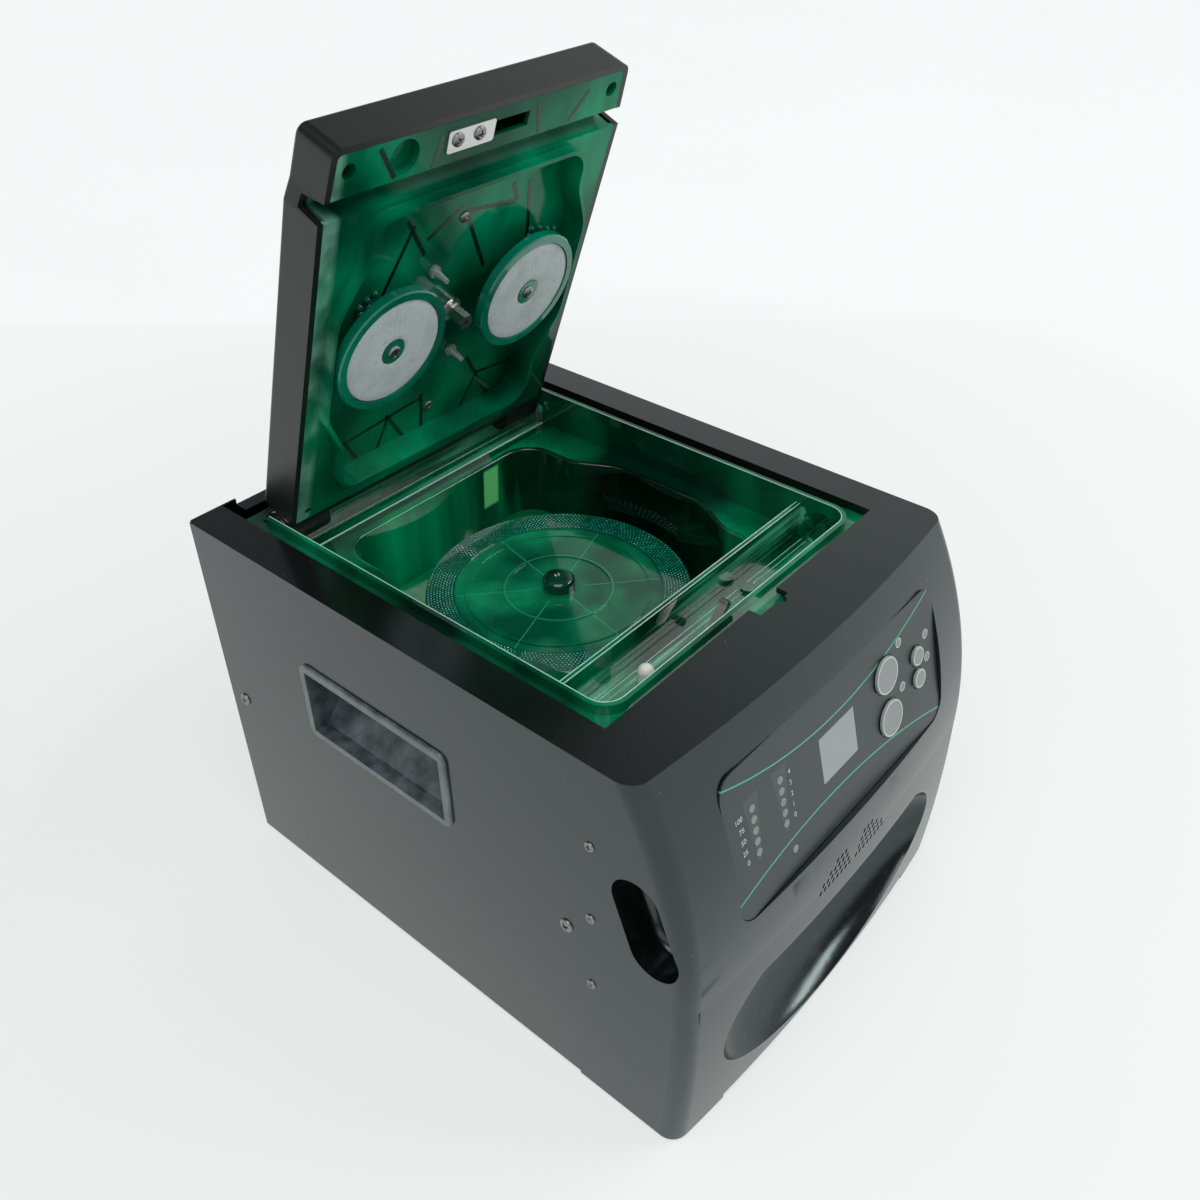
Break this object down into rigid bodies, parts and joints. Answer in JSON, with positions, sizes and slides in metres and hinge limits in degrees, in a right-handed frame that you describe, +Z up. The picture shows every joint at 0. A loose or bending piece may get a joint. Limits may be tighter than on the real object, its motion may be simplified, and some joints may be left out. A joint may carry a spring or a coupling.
{
  "type": "disc repair machine",
  "caption": "Countertop disc repair machine with a hinged lid carrying two polishing pads over a lifting, turning platter in a splash bowl, front control panel and carrying cups.",
  "frame": {"origin": "on the floor below the middle of the cabinet, seen from above", "axes": "+X to the machine's right seen from the front, +Y towards the rear, +Z up; the control panel faces -Y"},
  "size_m": [0.2156, 0.2799, 0.363],
  "materials": {
    "painted_steel": "satin black paint",
    "black_plastic": "fine-textured black",
    "panel_film": "dark grey film",
    "display_glass": "pale grey display window",
    "light_pipe": "milky light pipes",
    "green_plastic": "translucent green, polished",
    "clear_plastic": "clear",
    "white_plastic": "white",
    "key_plastic": "grey key caps",
    "steel": "bright steel",
    "zinc_steel": "zinc-plated sheet steel",
    "aluminium": "machined",
    "rubber": "matt black rubber",
    "pad_foam": "fine pale grey polishing pad",
    "board": "circuit board with its components",
    "hose": "clear flexible hose",
    "bottle": "natural white bottle plastic"
  },
  "bodies": {
    "cabinet": {"side_panel_left": "painted_steel", "side_panel_right": "painted_steel", "rear_panel": "painted_steel", "base_pan": "zinc_steel", "rubber_feet": "rubber", "front_bulkhead": "zinc_steel", "tray_brackets": "zinc_steel", "cabinet_screws": "steel", "handle_cup_left": "black_plastic", "handle_cup_right": "black_plastic", "front_bezel": "black_plastic", "control_overlay": "panel_film", "display_window": "display_glass", "control_board": "board", "status_lights": "light_pipe", "splash_tray": "green_plastic", "tray_bowl": "green_plastic", "guide_rods": "steel", "lift_actuator": "aluminium", "hinge_bracket": "steel", "catch_modules": "black_plastic", "supply_bottles": "bottle", "bottle_caps": "black_plastic", "pumps": "black_plastic", "inner_hoses": "hose", "hose_fittings": "clear_plastic", "main_board": "board", "power_supply": "zinc_steel", "fan_frame": "black_plastic", "power_inlet": "black_plastic", "switch_frame": "black_plastic"},
    "lid": {"lid_shell": "black_plastic", "lid_liner": "green_plastic", "strike_plate": "steel", "lid_screws": "steel", "spray_nozzles": "clear_plastic", "shaft_collar": "steel"},
    "clamp_sleeve": {"clamp_sleeve": "steel"},
    "clamp_shaft": {"clamp_shaft": "steel"},
    "pad_left": {"pad_holder_left": "green_plastic", "polishing_pad_left": "pad_foam", "pad_screw_left": "steel"},
    "pad_right": {"pad_holder_right": "green_plastic", "polishing_pad_right": "pad_foam", "pad_screw_right": "steel"},
    "lift": {"lift_carriage": "aluminium", "platter_motor": "black_plastic", "drive_belt": "rubber"},
    "platter": {"platter": "green_plastic", "hub_cap": "green_plastic", "spindle": "steel"},
    "motor_pulley": {"motor_pulley": "steel"},
    "key_upper": {"key_upper": "key_plastic"},
    "key_lower": {"key_lower": "key_plastic"},
    "key_option_upper": {"key_option_upper": "key_plastic"},
    "key_option_lower": {"key_option_lower": "key_plastic"},
    "lid_sensor_peg": {"lid_sensor_peg": "white_plastic"},
    "lock_lever": {"lock_lever": "steel"},
    "fan_rotor": {"fan_rotor": "black_plastic"},
    "power_rocker": {"power_rocker": "black_plastic"}
  },
  "joints": [
    {"name": "lid_hinge", "type": "hinge", "parent": "cabinet", "child": "lid", "pos_m": [0, 0.1136, 0.1845], "axis": [1, 0, 0], "range_deg": [0, 70.2]},
    {"name": "clamp_slide", "type": "slide", "parent": "lid", "child": "clamp_sleeve", "axis": [0, 0.9409, 0.3387], "range_m": [0, 0.0058], "stiffness_N_per_m": 200},
    {"name": "clamp_spin", "type": "hinge", "parent": "clamp_sleeve", "child": "clamp_shaft", "pos_m": [0, 0.08096, 0.27074], "axis": [0, 0.9409, 0.3387], "continuous": true},
    {"name": "pad_left_spin", "type": "hinge", "parent": "lid", "child": "pad_left", "pos_m": [-0.0386, 0.07813, 0.26972], "axis": [0, 0.9409, 0.3387], "continuous": true},
    {"name": "pad_right_spin", "type": "hinge", "parent": "lid", "child": "pad_right", "pos_m": [0.0386, 0.07813, 0.26972], "axis": [0, 0.9409, 0.3387], "continuous": true},
    {"name": "platter_lift", "type": "slide", "parent": "cabinet", "child": "lift", "axis": [0, 0, 1], "range_m": [0, 0.017]},
    {"name": "platter_spin", "type": "hinge", "parent": "lift", "child": "platter", "pos_m": [0, 0.0214, 0.15], "axis": [0, 0, 1], "continuous": true},
    {"name": "motor_spin", "type": "hinge", "parent": "lift", "child": "motor_pulley", "pos_m": [0, 0.0654, 0.105], "axis": [0, 0, 1], "continuous": true},
    {"name": "key_upper_press", "type": "slide", "parent": "cabinet", "child": "key_upper", "axis": [0, 0.9677, -0.252], "range_m": [0, 0.0008], "stiffness_N_per_m": 400},
    {"name": "key_lower_press", "type": "slide", "parent": "cabinet", "child": "key_lower", "axis": [0, 0.9677, -0.252], "range_m": [0, 0.0008], "stiffness_N_per_m": 400},
    {"name": "key_option_upper_press", "type": "slide", "parent": "cabinet", "child": "key_option_upper", "axis": [0, 0.9677, -0.252], "range_m": [0, 0.0008], "stiffness_N_per_m": 400},
    {"name": "key_option_lower_press", "type": "slide", "parent": "cabinet", "child": "key_option_lower", "axis": [0, 0.9677, -0.252], "range_m": [0, 0.0008], "stiffness_N_per_m": 400},
    {"name": "lid_sensor_press", "type": "slide", "parent": "cabinet", "child": "lid_sensor_peg", "axis": [0, 0, -1], "range_m": [0, 0.004], "stiffness_N_per_m": 120},
    {"name": "lock_lever_swing", "type": "hinge", "parent": "cabinet", "child": "lock_lever", "pos_m": [-0.008, -0.062, 0.163], "axis": [0, 1, 0], "range_deg": [0, 10], "stiffness_Nm_per_rad": 0.02},
    {"name": "fan_spin", "type": "hinge", "parent": "cabinet", "child": "fan_rotor", "pos_m": [-0.005, 0.13, 0.066], "axis": [0, 1, 0], "continuous": true},
    {"name": "power_switch", "type": "hinge", "parent": "cabinet", "child": "power_rocker", "pos_m": [0.07, 0.1366, 0.056], "axis": [0, 0, 1], "range_deg": [0, 12]}
  ],
  "couplings": [
    {"joint": "motor_spin", "follows": "platter_spin", "ratio": 3}
  ]
}
